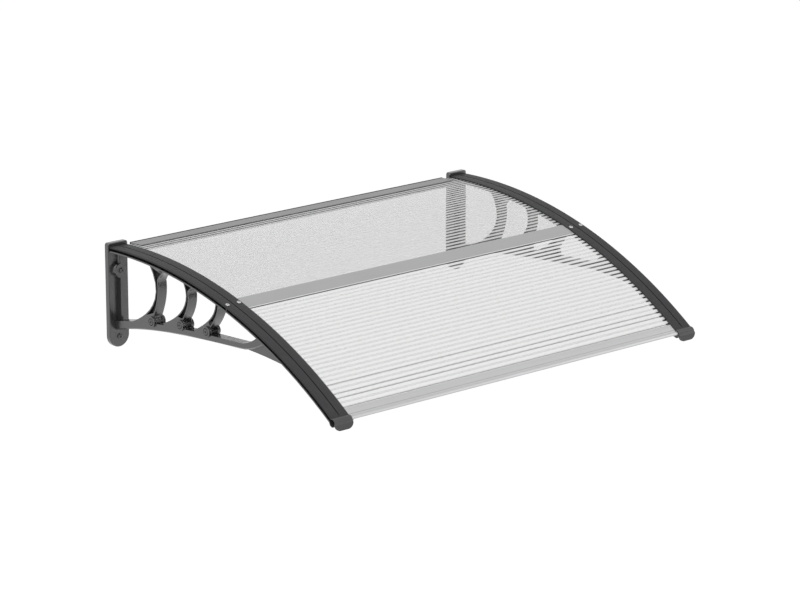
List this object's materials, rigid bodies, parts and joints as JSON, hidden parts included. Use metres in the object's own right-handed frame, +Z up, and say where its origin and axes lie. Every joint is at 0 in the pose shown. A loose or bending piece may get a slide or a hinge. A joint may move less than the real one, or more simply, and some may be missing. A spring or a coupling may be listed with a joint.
{
  "type": "door canopy",
  "caption": "Arched door canopy with black moulded wall brackets, clear fluted sheets and aluminium bars",
  "frame": {"origin": "The wall face, half way between the brackets, at the middle of the arm's depth where it meets the wall", "axes": "+X along the wall, +Y into the wall, the canopy reaches out towards -Y, +Z up"},
  "size_m": [1.0056, 0.7604, 0.2378],
  "materials": {
    "black_moulding": "gloss black moulded plastic",
    "black_cover": "gloss black moulded plastic with fine lengthwise lines",
    "black_cap": "gloss black moulded plastic",
    "clear_sheet": "clear fluted polycarbonate",
    "bar_aluminium": "satin anodised aluminium",
    "screw_steel": "zinc plated steel",
    "seal_rubber": "matt black rubber",
    "black_screw": "black coated steel"
  },
  "bodies": {
    "root": {"bracket_left": "black_moulding", "bracket_right": "black_moulding", "cover_strip_left": "black_cover", "cover_strip_right": "black_cover", "end_cap_left": "black_cap", "end_cap_right": "black_cap", "rear_sheet": "clear_sheet", "front_sheet": "clear_sheet", "middle_bar": "bar_aluminium", "front_bar": "bar_aluminium", "rear_bar": "bar_aluminium", "wall_seal": "seal_rubber", "wall_screw_left_upper": "black_screw", "wall_screw_left_lower": "black_screw", "wall_screw_right_upper": "black_screw", "wall_screw_right_lower": "black_screw", "strut_screw_left_1": "black_screw", "strut_screw_left_2": "black_screw", "strut_screw_left_3": "black_screw", "strut_screw_right_1": "black_screw", "strut_screw_right_2": "black_screw", "strut_screw_right_3": "black_screw", "cover_screw_left_outer": "screw_steel", "cover_screw_left_inner": "screw_steel", "cover_screw_right_outer": "screw_steel", "cover_screw_right_inner": "screw_steel"}
  },
  "joints": []
}
